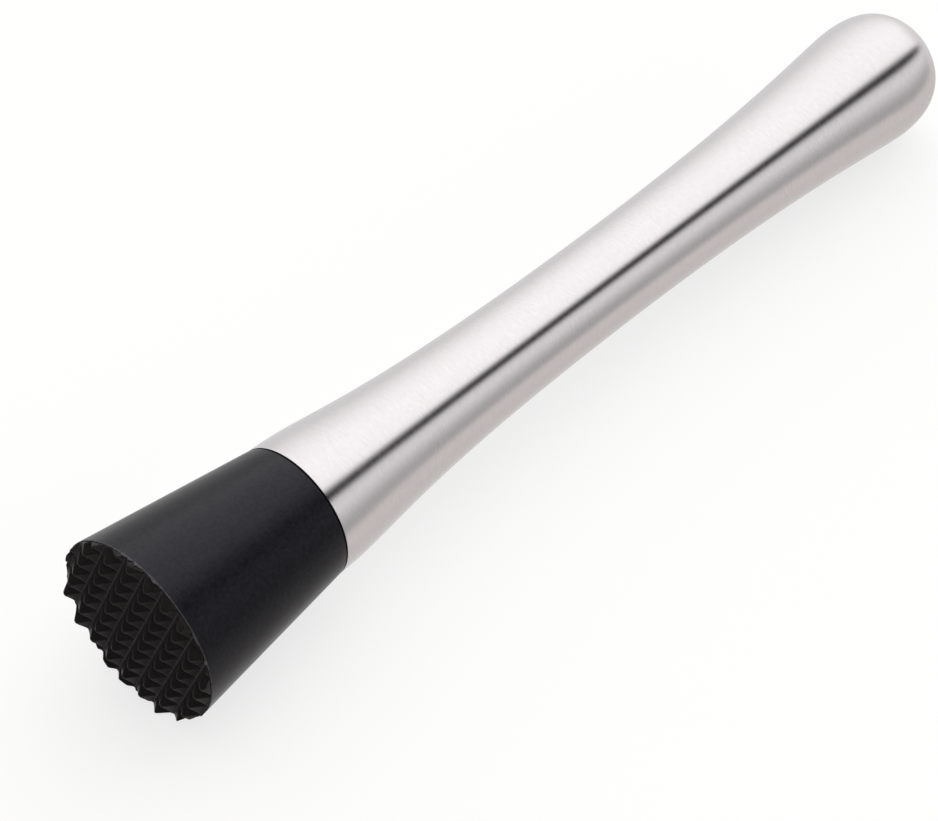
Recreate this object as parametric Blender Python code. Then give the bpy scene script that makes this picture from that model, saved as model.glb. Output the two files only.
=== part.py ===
"""Bar muddler: a hollow stainless steel handle glued onto the spigot of a toothed black nylon head.

The muddler lies on its side along +X: tooth tips at the -X end, rounded bulb at the +X end, and the
wide rim of the head touching z = 0. Every sub-part is turned about the same axis and is modelled with
x measured from the tooth tips, so all of them hang from one empty that sits where the axis meets the
plane of the tooth tips.
"""

import math

import bmesh
import bpy
from mathutils import Matrix, Vector
from mathutils.geometry import interpolate_bezier

# Overall size (metres)
LENGTH = 0.2032

# Outline of the handle: distance from the tooth tips and radius at each driving section
JOINT_X, JOINT_RADIUS = 0.0353, 0.01238
WAIST_X, WAIST_RADIUS = 0.1096, 0.00864
BULB_X, BULB_RADIUS = 0.1908, 0.01238
JOINT_SLOPE = 0.0
JOINT_HANDLE, WAIST_HANDLE_BACK = 0.0135, 0.0556
WAIST_HANDLE_FORWARD, BULB_HANDLE_BACK = 0.0526, 0.0066
BULB_HANDLE_FORWARD, TIP_HANDLE = 0.0087, 0.0095

# Rim of the head: its edge lies just behind the valleys, and the teeth stand a little inside it
RIM_X, RIM_RADIUS = 0.00165, 0.01651
LEDGE = 0.00015

# Handle shell
WALL = 0.0008
SEAM = 0.0003

# Head: teeth
TOOTH_PITCH = 0.00393
TOOTH_DEPTH = 0.0016
TOOTH_FLANK = 0.00165
TOOTH_ROWS_ANGLE = math.radians(25.5)
TOOTH_OFFSET_ACROSS = 0.00157
TOOTH_OFFSET_ALONG = -0.00124
TOOTH_COUNT = 11

# Head: spigot and core
CLEARANCE = 0.0003
SPIGOT_LENGTH = 0.0225
SPIGOT_CHAMFER = 0.0012
CORE_FLOOR_X = 0.0080
CORE_RADIUS_FLOOR, CORE_RADIUS_MOUTH = 0.0060, 0.0066
CORE_CORNER = 0.0015

# Seal and glue, measured along the spigot from the head's shoulder
SEAL_X, SEAL_SECTION = 0.0040, 0.0015
GLUE_START, GLUE_LENGTH, GLUE_THICKNESS = 0.0075, 0.0080, 0.0008

SEGMENTS = 32
SEAL_SEGMENTS = 12
SHARP_ANGLE = math.radians(30)
MERGE = 0.000001


def clear_scene():
    for thing in list(bpy.data.objects):
        bpy.data.objects.remove(thing, do_unlink=True)


def make_material(name, colour, roughness, metallic):
    material = bpy.data.materials.new(name)
    material.use_nodes = True
    shader = material.node_tree.nodes["Principled BSDF"]
    shader.inputs["Base Color"].default_value = (*colour, 1)
    shader.inputs["Roughness"].default_value = roughness
    shader.inputs["Metallic"].default_value = metallic
    return material


# --------------------------------------------------------------------------- outlines
# An outline is a list of (x, radius) pairs. It is turned about the X axis.


def bezier(start, handle_a, handle_b, end, count):
    """Points of one cubic stretch, both ends included."""
    knots = [Vector((x, radius, 0)) for x, radius in (start, handle_a, handle_b, end)]
    return [(p.x, p.y) for p in interpolate_bezier(*knots, count)]


def handle_outline():
    """Outer outline of the handle, from the joint over the waist and the bulb to the tip."""
    joint, waist = (JOINT_X, JOINT_RADIUS), (WAIST_X, WAIST_RADIUS)
    bulb, tip = (BULB_X, BULB_RADIUS), (LENGTH, 0.0)
    joint_out = (JOINT_X + JOINT_HANDLE, JOINT_RADIUS + JOINT_SLOPE * JOINT_HANDLE)
    waist_in = (WAIST_X - WAIST_HANDLE_BACK, WAIST_RADIUS)
    waist_out = (WAIST_X + WAIST_HANDLE_FORWARD, WAIST_RADIUS)
    bulb_in = (BULB_X - BULB_HANDLE_BACK, BULB_RADIUS)
    bulb_out = (BULB_X + BULB_HANDLE_FORWARD, BULB_RADIUS)
    tip_in = (LENGTH, TIP_HANDLE)
    taper = bezier(joint, joint_out, waist_in, waist, 10)
    swell = bezier(waist, waist_out, bulb_in, bulb, 12)
    dome = bezier(bulb, bulb_out, tip_in, tip, 9)
    return taper + swell[1:] + dome[1:]


def inset_outline(outline, distance):
    """The outline moved towards the axis by distance, square to itself."""
    inner = []
    last = len(outline) - 1
    for index, (x, radius) in enumerate(outline):
        before = Vector(outline[max(index - 1, 0)])
        after = Vector(outline[min(index + 1, last)])
        along = (after - before).normalized()
        if index == last:
            along = Vector((0, -1))
        inner.append((x + along.y * distance, radius - along.x * distance))
    return inner


def radius_at(outline, x):
    """Radius of an outline at x, on the straight line between its two nearest points."""
    for (x_a, radius_a), (x_b, radius_b) in zip(outline, outline[1:]):
        if x <= x_b:
            return radius_a + (radius_b - radius_a) * (x - x_a) / (x_b - x_a)
    return outline[-1][1]


def arc(centre, radius, start_deg, end_deg, count):
    """Points of a round stretch, both ends included."""
    points = []
    for step in range(count + 1):
        angle = math.radians(start_deg + (end_deg - start_deg) * step / count)
        points.append((centre[0] + radius * math.cos(angle), centre[1] + radius * math.sin(angle)))
    return points


# --------------------------------------------------------------------------- solids


def turned(name, outline, closed=False):
    """A solid of revolution about X. A closed outline makes a ring, an open one ends on the axis."""
    mesh = bpy.data.meshes.new(name)
    bm = bmesh.new()
    half_facet = Matrix.Rotation(math.pi / SEGMENTS, 3, "X")
    verts = [bm.verts.new(half_facet @ Vector((x, 0, radius))) for x, radius in outline]
    edges = [bm.edges.new(pair) for pair in zip(verts, verts[1:])]
    if closed:
        edges.append(bm.edges.new((verts[-1], verts[0])))
    bmesh.ops.spin(
        bm, geom=verts + edges, cent=(0, 0, 0), axis=(1, 0, 0),
        angle=math.tau, steps=SEGMENTS, use_merge=True,
    )
    bmesh.ops.remove_doubles(bm, verts=bm.verts, dist=MERGE)
    bmesh.ops.recalc_face_normals(bm, faces=bm.faces)
    bm.to_mesh(mesh)
    bm.free()
    mesh.shade_smooth()
    mesh.set_sharp_from_angle(angle=SHARP_ANGLE)
    part = bpy.data.objects.new(name, mesh)
    bpy.context.collection.objects.link(part)
    return part


def tooth_block():
    """A block with rows of blunt pyramids on its -X side, reaching back past the whole head."""
    mesh = bpy.data.meshes.new("tooth_block")
    bm = bmesh.new()
    bmesh.ops.create_grid(bm, x_segments=TOOTH_COUNT, y_segments=TOOTH_COUNT, size=0.5)
    side = TOOTH_COUNT * TOOTH_PITCH
    bmesh.ops.scale(bm, vec=(side, side, 1), verts=bm.verts)
    bmesh.ops.inset_individual(bm, faces=bm.faces[:], thickness=TOOTH_FLANK, depth=TOOTH_DEPTH)
    rim = [edge for edge in bm.edges if edge.is_boundary]
    walls = bmesh.ops.extrude_edge_only(bm, edges=rim)["geom"]
    back = [item for item in walls if isinstance(item, bmesh.types.BMVert)]
    bmesh.ops.translate(bm, vec=(0, 0, -(JOINT_X + 2 * SPIGOT_LENGTH)), verts=back)
    back_edges = [item for item in walls if isinstance(item, bmesh.types.BMEdge)]
    bmesh.ops.edgeloop_fill(bm, edges=[edge for edge in back_edges if edge.is_boundary])
    bmesh.ops.translate(
        bm, vec=(TOOTH_OFFSET_ALONG, TOOTH_OFFSET_ACROSS, -TOOTH_DEPTH), verts=bm.verts
    )
    # The block is made with its teeth up: a quarter turn about Y points them along -X.
    bmesh.ops.rotate(bm, matrix=Matrix.Rotation(-math.pi / 2, 3, "Y"), verts=bm.verts)
    bmesh.ops.rotate(bm, matrix=Matrix.Rotation(TOOTH_ROWS_ANGLE, 3, "X"), verts=bm.verts)
    bmesh.ops.recalc_face_normals(bm, faces=bm.faces)
    bm.to_mesh(mesh)
    bm.free()
    block = bpy.data.objects.new("tooth_block", mesh)
    bpy.context.collection.objects.link(block)
    block.hide_render = True
    block.display_type = "WIRE"
    return block


# --------------------------------------------------------------------------- sub-parts


def make_handle_shell(outer, inner):
    """Spun tube with one wall thickness all over, open at the joint and closed at the bulb."""
    mouth_x = JOINT_X + SEAM / 2
    outside = [(mouth_x, radius_at(outer, mouth_x))] + outer[1:]
    inside = [(mouth_x, radius_at(inner, mouth_x))] + [p for p in inner if p[0] > mouth_x]
    shell = turned("handle_shell", inside[::-1] + outside)
    shell.data.materials.append(make_material("brushed_steel", (0.62, 0.61, 0.60), 0.28, 1.0))
    return shell


def spigot_radius(inner, x):
    return radius_at(inner, x) - CLEARANCE


def make_muddler_head(inner):
    """Nylon moulding: toothed face, cone, shoulder, grooved spigot and an open core behind."""
    shoulder_x = JOINT_X - SEAM / 2
    end_x = shoulder_x + SPIGOT_LENGTH
    cone_slope = (JOINT_RADIUS - RIM_RADIUS) / (JOINT_X - RIM_X)
    front_x = -TOOTH_DEPTH
    outline = [
        (front_x, 0.0),
        (front_x, RIM_RADIUS - LEDGE),
        (RIM_X, RIM_RADIUS - LEDGE),
        (RIM_X, RIM_RADIUS),
        (shoulder_x, RIM_RADIUS + cone_slope * (shoulder_x - RIM_X)),
        (shoulder_x, spigot_radius(inner, shoulder_x)),
    ]
    seal_half = SEAL_SECTION / 2 + CLEARANCE
    outline += groove(inner, shoulder_x + SEAL_X - seal_half, shoulder_x + SEAL_X + seal_half,
                      SEAL_SECTION + CLEARANCE)
    outline += groove(inner, shoulder_x + GLUE_START, shoulder_x + GLUE_START + GLUE_LENGTH,
                      GLUE_THICKNESS + CLEARANCE)
    outline += [
        (end_x - SPIGOT_CHAMFER, spigot_radius(inner, end_x - SPIGOT_CHAMFER)),
        (end_x, spigot_radius(inner, end_x) - SPIGOT_CHAMFER),
        (end_x, CORE_RADIUS_MOUTH),
    ]
    corner = (CORE_FLOOR_X + CORE_CORNER, CORE_RADIUS_FLOOR - CORE_CORNER)
    outline += arc(corner, CORE_CORNER, 90, 180, 4)
    outline.append((CORE_FLOOR_X, 0.0))
    head = turned("muddler_head", outline)
    teeth = head.modifiers.new("teeth", "BOOLEAN")
    teeth.operation = "INTERSECT"
    teeth.solver = "EXACT"
    teeth.object = tooth_block()
    head.data.materials.append(make_material("black_nylon", (0.020, 0.019, 0.020), 0.45, 0.0))
    return head, teeth.object


def groove(inner, start_x, end_x, depth):
    """Four corners of a groove cut into the tapered spigot."""
    return [
        (start_x, spigot_radius(inner, start_x)),
        (start_x, spigot_radius(inner, start_x) - depth),
        (end_x, spigot_radius(inner, end_x) - depth),
        (end_x, spigot_radius(inner, end_x)),
    ]


def make_spigot_o_ring(inner):
    """Rubber ring in the groove next to the shoulder."""
    centre_x = JOINT_X - SEAM / 2 + SEAL_X
    centre_radius = spigot_radius(inner, centre_x) - SEAL_SECTION / 2
    circle = arc((centre_x, centre_radius), SEAL_SECTION / 2, 0, 360, SEAL_SEGMENTS)
    ring = turned("spigot_o_ring", circle[:-1], closed=True)
    ring.data.materials.append(make_material("black_rubber", (0.015, 0.015, 0.016), 0.7, 0.0))
    return ring


def make_bond_ring(inner):
    """Cured glue that fills the long groove of the spigot."""
    start_x = JOINT_X - SEAM / 2 + GLUE_START + CLEARANCE
    end_x = start_x + GLUE_LENGTH - 2 * CLEARANCE
    band = [
        (start_x, spigot_radius(inner, start_x)),
        (end_x, spigot_radius(inner, end_x)),
        (end_x, spigot_radius(inner, end_x) - GLUE_THICKNESS),
        (start_x, spigot_radius(inner, start_x) - GLUE_THICKNESS),
    ]
    ring = turned("bond_ring", band, closed=True)
    ring.data.materials.append(make_material("cured_epoxy", (0.62, 0.55, 0.38), 0.35, 0.0))
    return ring


def main():
    clear_scene()
    axis = bpy.data.objects.new("muddler_axis", None)
    axis.location = (-LENGTH / 2, 0, RIM_RADIUS * math.cos(math.pi / SEGMENTS))
    bpy.context.collection.objects.link(axis)

    outer = handle_outline()
    inner = inset_outline(outer, WALL)
    head, cutter = make_muddler_head(inner)
    parts = [
        make_handle_shell(outer, inner),
        head,
        cutter,
        make_spigot_o_ring(inner),
        make_bond_ring(inner),
    ]
    for part in parts:
        part.parent = axis


main()
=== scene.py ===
"""Looks of the bar muddler: satin steel handle and toothed black nylon head."""

import math

import bmesh
import bpy
import numpy as np
from mathutils import Matrix, Vector
from mathutils.geometry import interpolate_bezier


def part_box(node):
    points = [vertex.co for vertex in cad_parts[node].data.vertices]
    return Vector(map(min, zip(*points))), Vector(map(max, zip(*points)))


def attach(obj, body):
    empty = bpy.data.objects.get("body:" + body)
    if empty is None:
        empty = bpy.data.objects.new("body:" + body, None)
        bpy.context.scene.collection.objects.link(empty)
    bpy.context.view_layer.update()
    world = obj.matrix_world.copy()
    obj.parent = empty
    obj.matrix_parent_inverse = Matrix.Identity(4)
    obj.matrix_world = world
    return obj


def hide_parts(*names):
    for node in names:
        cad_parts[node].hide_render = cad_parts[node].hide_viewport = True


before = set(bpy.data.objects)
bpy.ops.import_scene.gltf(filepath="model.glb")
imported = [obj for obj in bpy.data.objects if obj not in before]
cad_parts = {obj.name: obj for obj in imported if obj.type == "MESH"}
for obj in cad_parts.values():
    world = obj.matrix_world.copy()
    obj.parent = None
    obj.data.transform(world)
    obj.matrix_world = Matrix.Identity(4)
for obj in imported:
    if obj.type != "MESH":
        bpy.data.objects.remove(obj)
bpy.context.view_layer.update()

# ------------------------------------------------------------------------ places from the frame
FACE_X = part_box("muddler_head")[0].x
SHELL_LOW, SHELL_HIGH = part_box("handle_shell")
AXIS_Z = (SHELL_LOW.z + SHELL_HIGH.z) / 2
LENGTH = SHELL_HIGH.x - FACE_X

# ------------------------------------------------------------------------ design (metres)
# x is measured from the tooth tips, as in the CAD model.
# Outline of the handle: its driving sections, how far the curves' control points lie from them,
# and the number of points along each curve
JOINT_X, JOINT_RADIUS = 0.0353, 0.01238
WAIST_X, WAIST_RADIUS = 0.1096, 0.00864
BULB_X, BULB_RADIUS = 0.1908, 0.01238
JOINT_HANDLE, WAIST_HANDLE_BACK = 0.0135, 0.0556
WAIST_HANDLE_FORWARD, BULB_HANDLE_BACK = 0.0526, 0.0066
BULB_HANDLE_FORWARD, TIP_HANDLE = 0.0087, 0.0095
TAPER_POINTS, SWELL_POINTS, DOME_POINTS = 48, 56, 44
WALL = 0.0008

# The hairline seam between head and handle, and the rounded edges on its two sides
SEAM = 0.0003
SHOULDER_X, MOUTH_X = JOINT_X - SEAM / 2, JOINT_X + SEAM / 2
EDGE_ROUND, EDGE_STEPS = 0.00008, 4

# Teeth: blunt pyramids on a square grid that is turned and shifted against the axis
TOOTH_PITCH = 0.00393
TOOTH_FLANK, TOOTH_DEPTH = 0.00165, 0.0016
TOOTH_LAND = TOOTH_PITCH / 2 - TOOTH_FLANK
TOOTH_ROWS_ANGLE = math.radians(25.5)
TOOTH_OFFSET_ACROSS, TOOTH_OFFSET_ALONG = 0.00157, -0.00124
TIP_ROUND, RIDGE_ROUND, VALLEY_ROUND = 0.00012, 0.00011, 0.00012
FLANK_STEPS, LAND_STEPS = 13, 2
# The flanks are slightly hollow, and a fine line of flash runs along the valleys between columns.
FLANK_HOLLOW = 0.30
VALLEY_LINE_HEIGHT, VALLEY_LINE_WIDTH = 0.00007, 0.00007

# Rim of the head, just behind the valleys. The teeth stand a little inside it, on a narrow ledge.
RIM_X, RIM_RADIUS, LEDGE = 0.00165, 0.01651, 0.00015
TEETH_RADIUS = RIM_RADIUS - LEDGE
CONE_TAPER = (RIM_RADIUS - JOINT_RADIUS) / (JOINT_X - RIM_X)
CONE_START, CONE_ROWS = 0.0019, 18
RIM_ROUND, RIM_MERGE = 0.00009, 0.00003

# Moulding flash on the rim: the fine line all round, and torn lumps as (angle, half width, height)
FLASH_LINE = 0.00012
FLASH_LUMPS = [
    (86, 3, 0.0003), (91, 2, 0.00045), (97, 3, 0.0004), (110, 3, 0.0004), (148, 4, 0.0005),
    (163, 3, 0.0005), (215, 4, 0.0003), (290, 5, 0.0003),
]
# Raggedness: the least share of the full height that is left
FLASH_LINE_LEAST, FLASH_LUMP_LEAST = 0.3, 0.35
# Share of its height by which the flash also leans outward
FLASH_OUTWARD = 0.5
FLASH_SEED = 8

# Hidden spigot, and the core that is open towards the handle
SPIGOT_LENGTH, SPIGOT_CLEARANCE, SPIGOT_CHAMFER = 0.0225, 0.0001, 0.0012
CORE_FLOOR_X, CORE_RADIUS_FLOOR, CORE_RADIUS_MOUTH = 0.0080, 0.0060, 0.0066
CORE_CORNER, CORE_CORNER_STEPS = 0.0015, 6

# Hidden rubber ring and glue, measured along the spigot from the head's shoulder
SEAL_X, SEAL_SECTION, SEAL_STEPS = 0.0040, 0.0015, 32
GLUE_START, GLUE_LENGTH, GLUE_THICKNESS, GLUE_STEPS = 0.0075, 0.0080, 0.0008, 8

HANDLE_SEGMENTS = 256
RING_SEGMENTS = 96
SHARP_ANGLE = math.radians(50)

# ------------------------------------------------------------------------ colours
# The middle part of a noise texture's range, where nearly all of its values lie
NOISE_LOW, NOISE_HIGH = 0.3, 0.7

STEEL = (0.535, 0.525, 0.528)
STEEL_STREAK_DARK, STEEL_STREAK_LIGHT = (0.516, 0.494, 0.499), (0.572, 0.548, 0.554)
STEEL_CLOUD = (0.536, 0.514, 0.519)
STEEL_ANISOTROPY, STEEL_ANISOTROPY_TURN = 0.85, 0.25

NYLON = (0.0034, 0.0032, 0.0044)
CONE_DARK, CONE_LIGHT = (0.0004, 0.0003, 0.0008), (0.0088, 0.0080, 0.0112)
TEETH_DARK, TEETH_LIGHT = (0.0075, 0.0058, 0.0054), (0.0165, 0.0131, 0.0122)
NYLON_SHINE, NYLON_SHINE_TINT = 0.11, (0.93, 0.91, 1.0)
# The teeth are rougher than the cone. The change lies within TEETH_FADE of the rim's plane.
TEETH_DULLER, TEETH_FADE = 0.12, 0.00003
# Grey on the rim's flash: whitened nylon with a painted highlight. Along a valley the same grey
# is a painted highlight in a line: distances from the valley at which it begins and is full,
# and the same as shares of the tooth depth
FLASH_AND_HIGHLIGHT_GREY = (0.055, 0.052, 0.057)
VALLEY_HIGHLIGHT_EDGE, VALLEY_HIGHLIGHT_CORE = 0.00013, 0.00004
VALLEY_HIGHLIGHT_FROM, VALLEY_HIGHLIGHT_TO = 0.80, 0.92

RUBBER = (0.015, 0.015, 0.016)
GLUE, GLUE_DARK, GLUE_LIGHT = (0.62, 0.52, 0.33), (0.58, 0.47, 0.28), (0.68, 0.59, 0.40)

# ------------------------------------------------------------------------ camera, floor and light
CAMERA_AZIMUTH, CAMERA_ELEVATION = math.radians(-47.519), math.radians(44.262)
CAMERA_AIM = Vector((-0.02938, -0.0049, AXIS_Z))
CAMERA_DISTANCE = 0.44127
CAMERA_SENSOR, CAMERA_LENS = 36.0, 100.55
CAMERA_NEAR, CAMERA_FAR = 0.01, 100
FLOOR_SIZE = 40.0
FLOOR_COLOUR, FLOOR_ROUGHNESS = (0.28, 0.275, 0.27), 0.9
FLOOR_GLOW = 0.74

# Studio light that the object reflects: brightness by the angle round the X axis, from straight
# down (-180) over the back wall (-90), the ceiling (0) and the front (90) to straight down (180).
SKY_STOPS = [
    (-180, 0.86), (-120, 0.94), (-85, 1.08), (-60, 1.42), (-38, 1.66), (-10, 1.76), (14, 1.73),
    (28, 1.66), (34, 1.45), (38, 0.80), (42, 0.22), (45, 0.05), (50, 0.05), (53.5, 0.42),
    (58, 0.98), (64, 1.16), (73, 1.17), (84, 0.95), (95, 0.72), (104, 0.61), (111, 0.68),
    (119, 0.97), (129, 1.00), (150, 0.92), (180, 0.88),
]
# The light is slightly warm past this angle, where it comes up from the floor in front.
SKY_WARM_FROM, SKY_WARM = 118, (1.0, 0.96, 0.93)
# The end of the room behind the toothed face is darker: brightness there and direction range.
SKY_DARK_END, SKY_DARK_FROM, SKY_DARK_TO = 0.27, 0.22, -0.35
# Towards the other end the stripes run out into an even brightness.
SKY_EVEN, SKY_EVEN_FROM, SKY_EVEN_TO = (1.10, 1.10, 1.10), 0.88, 1.0
# What the camera itself sees beyond the floor, from a low angle
SKY_SEEN = (0.98, 0.975, 0.95)

# Softbox over the back of the head: angle round the X axis, distance, size and brightness
SOFTBOX_ANGLE, SOFTBOX_LEAN = math.radians(-18), 0.34
SOFTBOX_DISTANCE, SOFTBOX_LONG, SOFTBOX_WIDE = 0.50, 0.60, 0.70
SOFTBOX_BRIGHTNESS = 1.6


# ------------------------------------------------------------------------ outlines
# An outline is a list of (x, radius) pairs.
def bezier(start, handle_a, handle_b, end, count):
    """Points of one cubic stretch, both ends included."""
    knots = [Vector((x, radius, 0)) for x, radius in (start, handle_a, handle_b, end)]
    return [(p.x, p.y) for p in interpolate_bezier(*knots, count)]


def handle_outline():
    """Outer outline of the handle, from the joint over the waist and the bulb to the tip."""
    joint, waist = (JOINT_X, JOINT_RADIUS), (WAIST_X, WAIST_RADIUS)
    bulb, tip = (BULB_X, BULB_RADIUS), (LENGTH, 0.0)
    joint_out = (JOINT_X + JOINT_HANDLE, JOINT_RADIUS)
    waist_in = (WAIST_X - WAIST_HANDLE_BACK, WAIST_RADIUS)
    waist_out = (WAIST_X + WAIST_HANDLE_FORWARD, WAIST_RADIUS)
    bulb_in = (BULB_X - BULB_HANDLE_BACK, BULB_RADIUS)
    bulb_out = (BULB_X + BULB_HANDLE_FORWARD, BULB_RADIUS)
    tip_in = (LENGTH, TIP_HANDLE)
    taper = bezier(joint, joint_out, waist_in, waist, TAPER_POINTS)
    swell = bezier(waist, waist_out, bulb_in, bulb, SWELL_POINTS)
    dome = bezier(bulb, bulb_out, tip_in, tip, DOME_POINTS)
    return taper + swell[1:] + dome[1:]


def inset_outline(outline, distance):
    """The outline moved towards the axis by distance, square to itself."""
    inset = []
    last = len(outline) - 1
    for index, (x, radius) in enumerate(outline):
        before = Vector(outline[max(index - 1, 0)])
        after = Vector(outline[min(index + 1, last)])
        along = (after - before).normalized()
        if index == last:
            along = Vector((0, -1))
        inset.append((x + along.y * distance, radius - along.x * distance))
    return inset


def radius_at(outline, x):
    """Radius of an outline at x, on the straight line between its two nearest points."""
    for (x_a, radius_a), (x_b, radius_b) in zip(outline, outline[1:]):
        if x <= x_b:
            return radius_a + (radius_b - radius_a) * (x - x_a) / (x_b - x_a)
    return outline[-1][1]


def arc(centre, radius, start_deg, end_deg, count):
    """Points of a round stretch, both ends included."""
    points = []
    for step in range(count + 1):
        angle = math.radians(start_deg + (end_deg - start_deg) * step / count)
        points.append((centre[0] + radius * math.cos(angle), centre[1] + radius * math.sin(angle)))
    return points


# ------------------------------------------------------------------------ mesh helpers
def even_angles(count):
    return [math.tau * i / count for i in range(count)]


def turned_rows(bm, outline, angles):
    """Outline points turned about X: one ring of vertices for each point of the outline."""
    rows = []
    for x, radius in outline:
        row = [bm.verts.new((x, radius * math.cos(a), radius * math.sin(a))) for a in angles]
        rows.append(row)
    return rows


def skin(bm, rows, closed=False):
    """Quads between neighbouring rings of vertices, all the way round."""
    pairs = list(zip(rows, rows[1:]))
    if closed:
        pairs.append((rows[-1], rows[0]))
    for lower, upper in pairs:
        count = len(lower)
        for i in range(count):
            j = (i + 1) % count
            bm.faces.new((lower[i], lower[j], upper[j], upper[i]))


def cap(bm, row, x):
    """A fan from a ring of vertices to one point on the axis."""
    pole = bm.verts.new((x, 0, 0))
    count = len(row)
    for i in range(count):
        bm.faces.new((row[i], row[(i + 1) % count], pole))


def finish_mesh(bm, name):
    """The mesh with its faces outward and smooth, except at sharp edges."""
    bmesh.ops.recalc_face_normals(bm, faces=bm.faces)
    mesh = bpy.data.meshes.new(name)
    bm.to_mesh(mesh)
    bm.free()
    mesh.shade_smooth()
    mesh.set_sharp_from_angle(angle=SHARP_ANGLE)
    return mesh


def add_object(name, data):
    thing = bpy.data.objects.new(name, data)
    bpy.context.scene.collection.objects.link(thing)
    return thing


def add_piece(name, mesh, material, node):
    """Links a mesh as a shown piece that stands for a CAD node."""
    piece = add_object(name, mesh)
    piece.location = (FACE_X, 0, AXIS_Z)
    mesh.materials.append(material)
    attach(piece, "root")
    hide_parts(node)
    return piece


# ------------------------------------------------------------------------ handle
def handle_mesh(outer, inner):
    """The shell with its rounded mouth edge, its inner wall and both closed ends."""
    edge_centre = (MOUTH_X + EDGE_ROUND, radius_at(outer, MOUTH_X) - EDGE_ROUND)
    mouth_edge = arc(edge_centre, EDGE_ROUND, 180, 90, EDGE_STEPS)
    # The last point of each outline lies on the axis, where the caps close the ends.
    outside = [p for p in outer if p[0] > MOUTH_X + 2 * EDGE_ROUND][:-1]
    inside = [p for p in inner if p[0] > MOUTH_X + EDGE_ROUND][:-1]
    inside = [(MOUTH_X, radius_at(inner, MOUTH_X))] + inside
    bm = bmesh.new()
    rows = turned_rows(bm, inside[::-1] + mouth_edge + outside, even_angles(HANDLE_SEGMENTS))
    skin(bm, rows)
    cap(bm, rows[0], inner[-1][0])
    cap(bm, rows[-1], outer[-1][0])
    return finish_mesh(bm, "handle")


# ------------------------------------------------------------------------ toothed face
def from_valley(distance):
    """Signed distance from the nearest valley, for a distance from a tooth's centre line."""
    return TOOTH_PITCH * ((distance / TOOTH_PITCH) % 1.0 - 0.5)


def folded(distance):
    """Distance from the nearest tooth's centre line, with the valleys rounded off."""
    return TOOTH_PITCH / 2 - np.sqrt(from_valley(distance) ** 2 + VALLEY_ROUND**2)


def above_zero(value, rounding):
    """max(value, 0) with a rounded corner."""
    return (value + np.sqrt(value**2 + rounding**2)) / 2


def tooth_drop(y, z):
    """How far the toothed surface lies behind the plane of the tips, at (y, z) from the axis."""
    cos_a, sin_a = math.cos(TOOTH_ROWS_ANGLE), math.sin(TOOTH_ROWS_ANGLE)
    across = y * cos_a + z * sin_a - TOOTH_OFFSET_ACROSS
    along = z * cos_a - y * sin_a - TOOTH_OFFSET_ALONG
    flank_a = folded(across) - TOOTH_LAND
    flank_b = folded(along) - TOOTH_LAND
    steeper = flank_b + above_zero(flank_a - flank_b, RIDGE_ROUND)
    down_flank = above_zero(steeper, TIP_ROUND) / TOOTH_FLANK
    drop = TOOTH_DEPTH * down_flank * (1 + FLANK_HOLLOW * (1 - down_flank))
    valley_line = VALLEY_LINE_HEIGHT * np.exp(-((from_valley(across) / VALLEY_LINE_WIDTH) ** 2))
    return drop - valley_line


def grid_lines(offset):
    """Places of the mesh lines across the face, close together at the tips and in the valleys."""
    half = [TOOTH_LAND * step / LAND_STEPS for step in range(LAND_STEPS)]
    for step in range(FLANK_STEPS + 1):
        half.append(TOOTH_LAND + TOOTH_FLANK * (1 - math.cos(math.pi * step / FLANK_STEPS)) / 2)
    one_tooth = [-t for t in half[:0:-1]] + half[:-1]
    reach = math.ceil(RIM_RADIUS / TOOTH_PITCH) + 1
    teeth = range(-reach, reach + 1)
    return np.array([offset + tooth * TOOTH_PITCH + t for tooth in teeth for t in one_tooth])


def axis_angle(vert):
    return math.atan2(vert.co.z, vert.co.y)


def tooth_surface(bm):
    """Adds the toothed face. Returns its outer vertices in order round the axis."""
    lines_a = grid_lines(TOOTH_OFFSET_ACROSS)
    lines_b = grid_lines(TOOTH_OFFSET_ALONG)
    across, along = np.meshgrid(lines_a, lines_b, indexing="ij")
    cos_a, sin_a = math.cos(TOOTH_ROWS_ANGLE), math.sin(TOOTH_ROWS_ANGLE)
    y = across * cos_a - along * sin_a
    z = across * sin_a + along * cos_a
    drop = tooth_drop(y, z)
    edge_radius = TEETH_RADIUS - RIM_ROUND
    inside = np.hypot(y, z) < edge_radius
    whole = inside[:-1, :-1] & inside[1:, :-1] & inside[1:, 1:] & inside[:-1, 1:]
    verts = {}

    def vert(i, j):
        if (i, j) not in verts:
            verts[i, j] = bm.verts.new((drop[i, j], y[i, j], z[i, j]))
        return verts[i, j]

    for i, j in zip(*np.nonzero(whole)):
        bm.faces.new((vert(i, j), vert(i + 1, j), vert(i + 1, j + 1), vert(i, j + 1)))
    # The stepped border of the grid is moved out onto the round edge.
    border = {v for edge in bm.edges if edge.is_boundary for v in edge.verts}
    for v in border:
        angle = axis_angle(v)
        y, z = edge_radius * math.cos(angle), edge_radius * math.sin(angle)
        v.co = (float(tooth_drop(np.float64(y), np.float64(z))), y, z)
    bmesh.ops.remove_doubles(bm, verts=list(border), dist=RIM_MERGE)
    loop = {v for edge in bm.edges if edge.is_boundary for v in edge.verts}
    return sorted(loop, key=axis_angle)


# ------------------------------------------------------------------------ head
def flash_height(angle, rng):
    """Height of the moulding flash on the rim: a faint ragged line with a few torn lumps."""
    height = FLASH_LINE * (FLASH_LINE_LEAST + (1 - FLASH_LINE_LEAST) * rng.random())
    for centre_deg, width_deg, top in FLASH_LUMPS:
        off = (math.degrees(angle) - centre_deg + 180) % 360 - 180
        torn = FLASH_LUMP_LEAST + (1 - FLASH_LUMP_LEAST) * rng.random()
        height += top * max(0.0, 1 - (off / width_deg) ** 2) * torn
    return height


def cone_radius(x):
    return RIM_RADIUS - CONE_TAPER * (x - RIM_X)


def spigot_radius(inner, x):
    return radius_at(inner, x) - SPIGOT_CLEARANCE


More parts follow.
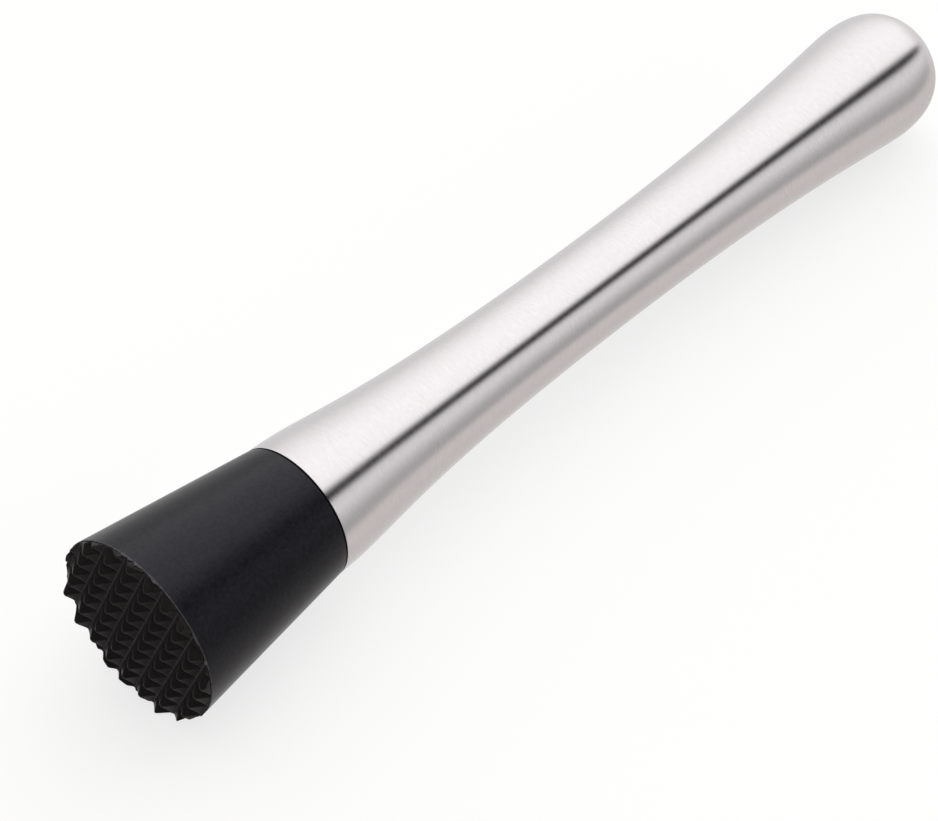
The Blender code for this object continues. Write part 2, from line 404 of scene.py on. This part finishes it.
def groove(inner, start_x, end_x, depth):
    """Four corners of a groove cut into the tapered spigot."""
    return [
        (start_x, spigot_radius(inner, start_x)),
        (start_x, spigot_radius(inner, start_x) - depth),
        (end_x, spigot_radius(inner, end_x) - depth),
        (end_x, spigot_radius(inner, end_x)),
    ]


def spigot_outline(inner):
    """Outline behind the cone: rounded shoulder edge, spigot with two grooves, its end and core."""
    edge_centre = (SHOULDER_X - EDGE_ROUND, cone_radius(SHOULDER_X) - EDGE_ROUND)
    end_x = SHOULDER_X + SPIGOT_LENGTH
    seal_start = SHOULDER_X + SEAL_X - SEAL_SECTION / 2
    glue_start = SHOULDER_X + GLUE_START
    outline = arc(edge_centre, EDGE_ROUND, 90, 0, EDGE_STEPS)
    outline.append((SHOULDER_X, spigot_radius(inner, SHOULDER_X)))
    outline += groove(
        inner, seal_start, seal_start + SEAL_SECTION, SEAL_SECTION - SPIGOT_CLEARANCE
    )
    outline += groove(inner, glue_start, glue_start + GLUE_LENGTH, GLUE_THICKNESS)
    outline += [
        (end_x - SPIGOT_CHAMFER, spigot_radius(inner, end_x - SPIGOT_CHAMFER)),
        (end_x, spigot_radius(inner, end_x) - SPIGOT_CHAMFER),
        (end_x, CORE_RADIUS_MOUTH),
    ]
    corner = (CORE_FLOOR_X + CORE_CORNER, CORE_RADIUS_FLOOR - CORE_CORNER)
    return outline + arc(corner, CORE_CORNER, 90, 180, CORE_CORNER_STEPS)


def rim_rows(bm, border):
    """Rings of vertices from the toothed face's border to the cone, with flash on the rim."""
    rng = np.random.default_rng(FLASH_SEED)
    rings = [[], [], [], []]
    for v in border:
        angle = axis_angle(v)
        flash = flash_height(angle, rng)
        rings[0].append((min(v.co.x + RIM_ROUND, RIM_X), TEETH_RADIUS, angle))
        rings[1].append((RIM_X, TEETH_RADIUS, angle))
        crest_radius = RIM_RADIUS - RIM_ROUND + FLASH_OUTWARD * flash
        rings[2].append((RIM_X - flash, crest_radius, angle))
        rings[3].append((RIM_X + RIM_ROUND, cone_radius(RIM_X + RIM_ROUND), angle))
    rows = []
    for ring in rings:
        rows.append([bm.verts.new((x, r * math.cos(a), r * math.sin(a))) for x, r, a in ring])
    return rows


def head_mesh(inner):
    """Toothed face, rim with flash, cone, spigot and core as one closed skin."""
    bm = bmesh.new()
    border = tooth_surface(bm)
    angles = [axis_angle(v) for v in border]
    cone_places = np.linspace(CONE_START, SHOULDER_X - EDGE_ROUND, CONE_ROWS)[:-1]
    cone = [(x, cone_radius(x)) for x in cone_places]
    rows = [border] + rim_rows(bm, border)
    rows += turned_rows(bm, cone + spigot_outline(inner), angles)
    skin(bm, rows)
    cap(bm, rows[-1], CORE_FLOOR_X)
    return finish_mesh(bm, "head")


# ------------------------------------------------------------------------ hidden rings
def ring_mesh(name, outline):
    """A closed outline turned into a ring."""
    bm = bmesh.new()
    skin(bm, turned_rows(bm, outline, even_angles(RING_SEGMENTS)), closed=True)
    return finish_mesh(bm, name)


def seal_outline(inner):
    """Round section of the rubber ring, sitting in its groove."""
    x = SHOULDER_X + SEAL_X
    radius = radius_at(inner, x) - SEAL_SECTION / 2
    return arc((x, radius), SEAL_SECTION / 2, 0, 360, SEAL_STEPS)[:-1]


def glue_outline(inner):
    """Section of the glue band: it fills the groove and pulls in a little at both free ends."""
    start_x = SHOULDER_X + GLUE_START
    end_x = start_x + GLUE_LENGTH
    pulled_in = GLUE_THICKNESS / 4

    def end_middle(x):
        return (radius_at(inner, x) + spigot_radius(inner, x) - GLUE_THICKNESS) / 2

    outline = []
    for step in range(GLUE_STEPS + 1):
        x = start_x + GLUE_LENGTH * step / GLUE_STEPS
        outline.append((x, radius_at(inner, x)))
    outline.append((end_x - pulled_in, end_middle(end_x)))
    for step in range(GLUE_STEPS + 1):
        x = end_x - GLUE_LENGTH * step / GLUE_STEPS
        outline.append((x, spigot_radius(inner, x) - GLUE_THICKNESS))
    outline.append((start_x + pulled_in, end_middle(start_x)))
    return outline


# ------------------------------------------------------------------------ shader nodes
# Places of the colour sockets in a Mix node, which has several sockets of the same name
MIX_FACTOR, MIX_A, MIX_B, MIX_RESULT = 0, 6, 7, 2


class Nodes:
    """Short ways to add and join the nodes of a material or a world."""

    def __init__(self, tree):
        self.tree = tree

    def add(self, kind, **settings):
        node = self.tree.nodes.new(kind)
        for key, value in settings.items():
            setattr(node, key, value)
        return node

    def put(self, socket, value):
        """Links an output to the socket, or sets the socket to a number, vector or colour."""
        if isinstance(value, bpy.types.NodeSocket):
            self.tree.links.new(value, socket)
        elif socket.type == "RGBA":
            socket.default_value = (*value, 1)
        else:
            socket.default_value = value

    def math(self, operation, *values):
        node = self.add("ShaderNodeMath", operation=operation)
        for socket, value in zip(node.inputs, values):
            self.put(socket, value)
        return node.outputs["Value"]

    def vector_math(self, operation, output, *values):
        node = self.add("ShaderNodeVectorMath", operation=operation)
        for socket, value in zip(node.inputs, values):
            self.put(socket, value)
        return node.outputs[output]

    def ranged(self, value, start, end, low=0.0, high=1.0, interpolation="LINEAR"):
        """Low up to start and high from end on, with a ramp between them."""
        node = self.add("ShaderNodeMapRange", interpolation_type=interpolation)
        ends = {"From Min": start, "From Max": end, "To Min": low, "To Max": high}
        for name, number in ends.items():
            self.put(node.inputs[name], number)
        self.put(node.inputs["Value"], value)
        return node.outputs["Result"]

    def blend(self, factor, colour_a, colour_b):
        node = self.add("ShaderNodeMix", data_type="RGBA")
        self.put(node.inputs[MIX_FACTOR], factor)
        self.put(node.inputs[MIX_A], colour_a)
        self.put(node.inputs[MIX_B], colour_b)
        return node.outputs[MIX_RESULT]


class Paint(Nodes):
    """A material with one Principled shader, plain until textures are put on its sockets."""

    def __init__(self, name, metallic, roughness, colour):
        self.material = bpy.data.materials.new(name)
        self.material.use_nodes = True
        super().__init__(self.material.node_tree)
        self.shader = self.tree.nodes["Principled BSDF"].inputs
        self.put(self.shader["Metallic"], metallic)
        self.put(self.shader["Roughness"], roughness)
        self.put(self.shader["Base Color"], colour)

    def place(self):
        """Object coordinates: metres from the point where the axis meets the tooth tips."""
        return self.add("ShaderNodeTexCoord").outputs["Object"]

    def noise(self, scale, detail=2.0, rough=0.5):
        """Noise with scale features in a metre: one number, or one for each direction."""
        mapping = self.add("ShaderNodeMapping")
        self.put(mapping.inputs["Scale"], scale if isinstance(scale, tuple) else (scale,) * 3)
        self.put(mapping.inputs["Vector"], self.place())
        texture = self.add("ShaderNodeTexNoise")
        self.put(texture.inputs["Scale"], 1.0)
        self.put(texture.inputs["Detail"], detail)
        self.put(texture.inputs["Roughness"], rough)
        self.put(texture.inputs["Vector"], mapping.outputs["Vector"])
        return texture.outputs["Fac"]

    def spread(self, noise, low=0.0, high=1.0):
        """A noise value mapped to the range low to high."""
        return self.ranged(noise, NOISE_LOW, NOISE_HIGH, low, high)

    def bump(self, height, depth, strength, below=None):
        node = self.add("ShaderNodeBump")
        self.put(node.inputs["Distance"], depth)
        self.put(node.inputs["Strength"], strength)
        self.put(node.inputs["Height"], height)
        if below is not None:
            self.put(node.inputs["Normal"], below)
        return node.outputs["Normal"]


# ------------------------------------------------------------------------ materials
def steel():
    """Stainless steel brushed round the circumference while it turned on a lathe."""
    paint = Paint("brushed_steel", metallic=1.0, roughness=0.22, colour=STEEL)
    fine = paint.noise((5000, 900, 900), detail=3.0, rough=0.6)
    broad = paint.noise((1500, 220, 220))
    cloud = paint.noise((60, 90, 90))
    streaks = paint.blend(paint.spread(fine), STEEL_STREAK_DARK, STEEL_STREAK_LIGHT)
    clouds = paint.blend(paint.spread(cloud, high=0.5), streaks, STEEL_CLOUD)
    paint.put(paint.shader["Base Color"], clouds)
    paint.put(paint.shader["Roughness"], paint.spread(broad, 0.19, 0.23))
    normal = paint.bump(broad, depth=0.000002, strength=0.3)
    normal = paint.bump(fine, depth=0.000002, strength=0.4, below=normal)
    paint.put(paint.shader["Normal"], normal)
    paint.put(paint.shader["Anisotropic"], STEEL_ANISOTROPY)
    paint.put(paint.shader["Anisotropic Rotation"], STEEL_ANISOTROPY_TURN)
    tangent = paint.add("ShaderNodeTangent", direction_type="RADIAL", axis="X")
    paint.put(paint.shader["Tangent"], tangent.outputs["Tangent"])
    return paint.material


def on_rim_flash(paint, place, x):
    """1 on the flash of the rim, for its whitening and painted highlight: outside the teeth's wall
    and in front of the cone.
    """
    from_axis = paint.vector_math("MULTIPLY", "Vector", place, (0, 1, 1))
    radius = paint.vector_math("LENGTH", "Value", from_axis)
    outer_edge = paint.ranged(radius, TEETH_RADIUS, RIM_RADIUS - LEDGE / 2)
    in_front = paint.ranged(x, RIM_X + 2 * RIM_ROUND, RIM_X + RIM_ROUND)
    return paint.math("MULTIPLY", outer_edge, in_front)


def on_valley_highlight(paint, place, x, toothed, fading):
    """1 on the fine line along the bottom of the valleys between the columns of teeth, where a
    highlight is painted.
    """
    columns = (0, math.cos(TOOTH_ROWS_ANGLE), math.sin(TOOTH_ROWS_ANGLE))
    across = paint.vector_math("DOT_PRODUCT", "Value", place, columns)
    from_column = paint.math("SUBTRACT", across, TOOTH_OFFSET_ACROSS)
    valley = TOOTH_PITCH / 2
    from_tooth = paint.math("PINGPONG", from_column, valley)
    line = paint.ranged(from_tooth, valley - VALLEY_HIGHLIGHT_EDGE, valley - VALLEY_HIGHLIGHT_CORE)
    deep = paint.ranged(x, TOOTH_DEPTH * VALLEY_HIGHLIGHT_FROM, TOOTH_DEPTH * VALLEY_HIGHLIGHT_TO)
    faded = paint.math("MULTIPLY", paint.math("MULTIPLY", line, deep), fading)
    return paint.math("MULTIPLY", faded, toothed)


def nylon():
    """Moulded black nylon: fine satin grain, warmer and duller teeth, whitened flash with a painted
    highlight, and a painted highlight along the valleys.
    """
    paint = Paint("black_nylon", metallic=0.0, roughness=0.30, colour=NYLON)
    grain = paint.noise(5200, detail=3.0, rough=0.6)
    handling = paint.noise((220, 420, 420), detail=3.0)
    ragged = paint.noise(1800)
    mottle = paint.noise(1500, detail=5.0, rough=0.7)
    place = paint.place()
    split = paint.add("ShaderNodeSeparateXYZ")
    paint.put(split.inputs["Vector"], place)
    x = split.outputs["X"]
    toothed = paint.ranged(x, RIM_X + TEETH_FADE, RIM_X - TEETH_FADE)
    cone_black = paint.blend(paint.spread(mottle), CONE_DARK, CONE_LIGHT)
    teeth_black = paint.blend(paint.spread(mottle), TEETH_DARK, TEETH_LIGHT)
    black = paint.blend(toothed, cone_black, teeth_black)
    # Masks for the grey: whitening with a painted highlight on the rim's flash, and a painted
    # highlight along the valleys
    rim_flash = on_rim_flash(paint, place, x)
    valley_highlight = on_valley_highlight(paint, place, x, toothed, paint.spread(handling, 0.2, 1.0))
    flash = paint.math("MAXIMUM", rim_flash, valley_highlight)
    whitening_and_highlight = paint.math("MULTIPLY", flash, paint.spread(ragged, 0.25, 1.0))
    paint.put(paint.shader["Base Color"], paint.blend(whitening_and_highlight, black, FLASH_AND_HIGHLIGHT_GREY))
    satin = paint.spread(handling, 0.27, 0.33)
    duller = paint.math("MULTIPLY_ADD", toothed, TEETH_DULLER, satin)
    paint.put(paint.shader["Roughness"], duller)
    normal = paint.bump(mottle, depth=0.00005, strength=0.4)
    normal = paint.bump(grain, depth=0.00003, strength=0.5, below=normal)
    paint.put(paint.shader["Normal"], normal)
    paint.put(paint.shader["Specular IOR Level"], NYLON_SHINE)
    paint.put(paint.shader["Specular Tint"], NYLON_SHINE_TINT)
    return paint.material


def rubber():
    """Matte black rubber with a slightly uneven skin."""
    paint = Paint("black_rubber", metallic=0.0, roughness=0.6, colour=RUBBER)
    uneven = paint.noise(2500)
    paint.put(paint.shader["Roughness"], paint.spread(uneven, 0.55, 0.68))
    paint.put(paint.shader["Normal"], paint.bump(uneven, depth=0.00002, strength=0.3))
    return paint.material


def epoxy():
    """Cured amber glue with faint clouding."""
    paint = Paint("cured_epoxy", metallic=0.0, roughness=0.3, colour=GLUE)
    clouding = paint.noise(900, detail=3.0)
    colour = paint.blend(paint.spread(clouding), GLUE_DARK, GLUE_LIGHT)
    paint.put(paint.shader["Base Color"], colour)
    paint.put(paint.shader["Roughness"], paint.spread(clouding, 0.25, 0.38))
    return paint.material


# ------------------------------------------------------------------------ studio
def add_floor():
    """A plain pale floor that touches the rim of the head and the underside of the bulb."""
    low_head, low_bulb = AXIS_Z - RIM_RADIUS, AXIS_Z - BULB_RADIUS
    slope = math.atan2(low_bulb - low_head, BULB_X - RIM_X)
    half = FLOOR_SIZE / 2
    corners = [(-half, -half, 0), (half, -half, 0), (half, half, 0), (-half, half, 0)]
    mesh = bpy.data.meshes.new("floor")
    mesh.from_pydata(corners, [], [(0, 1, 2, 3)])
    paint = Paint("floor_white", metallic=0.0, roughness=FLOOR_ROUGHNESS, colour=FLOOR_COLOUR)
    paint.put(paint.shader["Specular IOR Level"], 0.0)
    paint.put(paint.shader["Emission Color"], (1, 1, 1))
    paint.put(paint.shader["Emission Strength"], FLOOR_GLOW)
    mesh.materials.append(paint.material)
    floor = add_object("floor", mesh)
    floor.location = (FACE_X + RIM_X, 0, low_head)
    floor.rotation_euler = (0, -slope, 0)
    floor.visible_glossy = False


def sky_bands(sky, direction):
    """Light by the angle round the X axis, from SKY_STOPS."""
    to_front = sky.math("MULTIPLY", direction["Y"], -1)
    angle = sky.math("ARCTAN2", to_front, direction["Z"])
    share = sky.math("MULTIPLY_ADD", angle, 1 / math.tau, 0.5)
    ramp = sky.add("ShaderNodeValToRGB")
    elements = ramp.color_ramp.elements
    while len(elements) < len(SKY_STOPS):
        elements.new(0.5)
    for element, (degrees, level) in zip(elements, SKY_STOPS):
        tint = SKY_WARM if degrees > SKY_WARM_FROM else (1, 1, 1)
        element.position = degrees / 360 + 0.5
        element.color = (*[level * t for t in tint], 1)
    sky.put(ramp.inputs["Fac"], share)
    return ramp.outputs["Color"]


def add_sky():
    """Soft studio light in long bands that run the length of the object, with one dark gap."""
    world = bpy.data.worlds.new("studio")
    world.use_nodes = True
    bpy.context.scene.world = world
    sky = Nodes(world.node_tree)
    split = sky.add("ShaderNodeSeparateXYZ")
    sky.put(split.inputs["Vector"], sky.add("ShaderNodeTexCoord").outputs["Generated"])
    direction = split.outputs
    even = sky.ranged(direction["X"], SKY_EVEN_FROM, SKY_EVEN_TO, interpolation="SMOOTHSTEP")
    light = sky.blend(even, sky_bands(sky, direction), SKY_EVEN)
    level = sky.ranged(
        direction["X"], SKY_DARK_TO, SKY_DARK_FROM, SKY_DARK_END, 1, interpolation="SMOOTHSTEP"
    )
    seen = sky.add("ShaderNodeLightPath").outputs["Is Camera Ray"]
    background = sky.tree.nodes["Background"].inputs
    sky.put(background["Color"], sky.blend(seen, light, SKY_SEEN))
    sky.put(background["Strength"], sky.math("MAXIMUM", level, seen))


def add_softbox(head):
    """A large softbox that lights only the black head."""
    lamp_data = bpy.data.lights.new("softbox", "AREA")
    lamp_data.shape = "RECTANGLE"
    lamp_data.size, lamp_data.size_y = SOFTBOX_LONG, SOFTBOX_WIDE
    lamp_data.energy = SOFTBOX_BRIGHTNESS * math.pi * SOFTBOX_LONG * SOFTBOX_WIDE
    lamp = add_object("softbox", lamp_data)
    across = math.sqrt(1 - SOFTBOX_LEAN**2)
    towards = Vector((
        SOFTBOX_LEAN,
        -across * math.sin(SOFTBOX_ANGLE),
        across * math.cos(SOFTBOX_ANGLE),
    ))
    lamp.location = Vector((FACE_X + JOINT_X / 2, 0, AXIS_Z)) + towards * SOFTBOX_DISTANCE
    lamp_y = towards.cross(Vector((1, 0, 0))).normalized()
    lamp_x = lamp_y.cross(towards)
    lamp.rotation_euler = Matrix((lamp_x, lamp_y, towards)).transposed().to_euler()
    lamp.visible_camera = False
    lit = bpy.data.collections.new("lit_by_softbox")
    lit.objects.link(head)
    lamp.light_linking.receiver_collection = lit


def add_camera():
    camera_data = bpy.data.cameras.new("camera")
    camera_data.sensor_width = CAMERA_SENSOR
    camera_data.lens = CAMERA_LENS
    camera_data.clip_start, camera_data.clip_end = CAMERA_NEAR, CAMERA_FAR
    camera = add_object("camera", camera_data)
    back = Vector((
        math.sin(CAMERA_AZIMUTH) * math.cos(CAMERA_ELEVATION),
        -math.cos(CAMERA_AZIMUTH) * math.cos(CAMERA_ELEVATION),
        math.sin(CAMERA_ELEVATION),
    ))
    camera.location = CAMERA_AIM + back * CAMERA_DISTANCE
    camera.rotation_euler = (-back).to_track_quat("-Z", "Y").to_euler()
    bpy.context.scene.camera = camera


# ------------------------------------------------------------------------ build
outer = handle_outline()
inner = inset_outline(outer, WALL)
seal, glue = ring_mesh("seal", seal_outline(inner)), ring_mesh("glue", glue_outline(inner))
add_piece("steel_handle", handle_mesh(outer, inner), steel(), "handle_shell")
head = add_piece("toothed_head", head_mesh(inner), nylon(), "muddler_head")
add_piece("seal_ring", seal, rubber(), "spigot_o_ring")
add_piece("glue_band", glue, epoxy(), "bond_ring")
add_floor()
add_sky()
add_softbox(head)
add_camera()
bpy.context.scene.view_settings.view_transform = "Standard"
